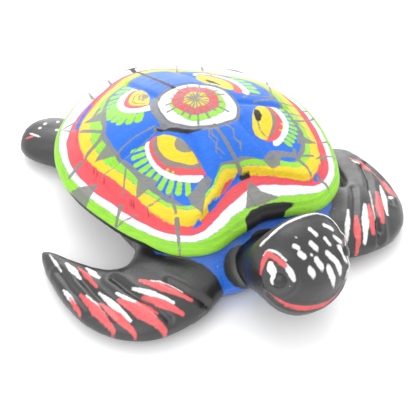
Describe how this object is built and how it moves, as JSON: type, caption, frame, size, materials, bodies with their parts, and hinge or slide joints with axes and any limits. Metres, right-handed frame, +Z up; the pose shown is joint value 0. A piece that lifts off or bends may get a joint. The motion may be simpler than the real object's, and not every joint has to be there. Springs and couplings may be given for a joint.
{
  "type": "painted sea turtle figure",
  "caption": "Hollow hand-built ceramic sea turtle with a domed carapace, spread flippers and raised head, painted in bright folk-art bands.",
  "frame": {"origin": "bottom centre of the bounding box, on the plane the figure stands on", "axes": "+Z up, the head towards -Y, the turtle's left side towards +X"},
  "size_m": [0.1504, 0.1682, 0.0447],
  "materials": {
    "painted_body": "satin acrylic paint, deep blue, brushed",
    "painted_carapace": "semi-gloss acrylic paint in lime, white, coral, yellow and blue bands",
    "painted_skin": "satin black acrylic paint with white and coral dabs",
    "eye_gloss": "glossy black paint with an off-white dab"
  },
  "bodies": {
    "root": {"belly_shell": "painted_body", "carapace": "painted_carapace", "head": "painted_skin", "eye_right": "eye_gloss", "eye_left": "eye_gloss", "front_flipper_right": "painted_skin", "front_flipper_left": "painted_skin", "rear_flipper_right": "painted_skin", "rear_flipper_left": "painted_skin", "tail": "painted_skin"}
  },
  "joints": []
}
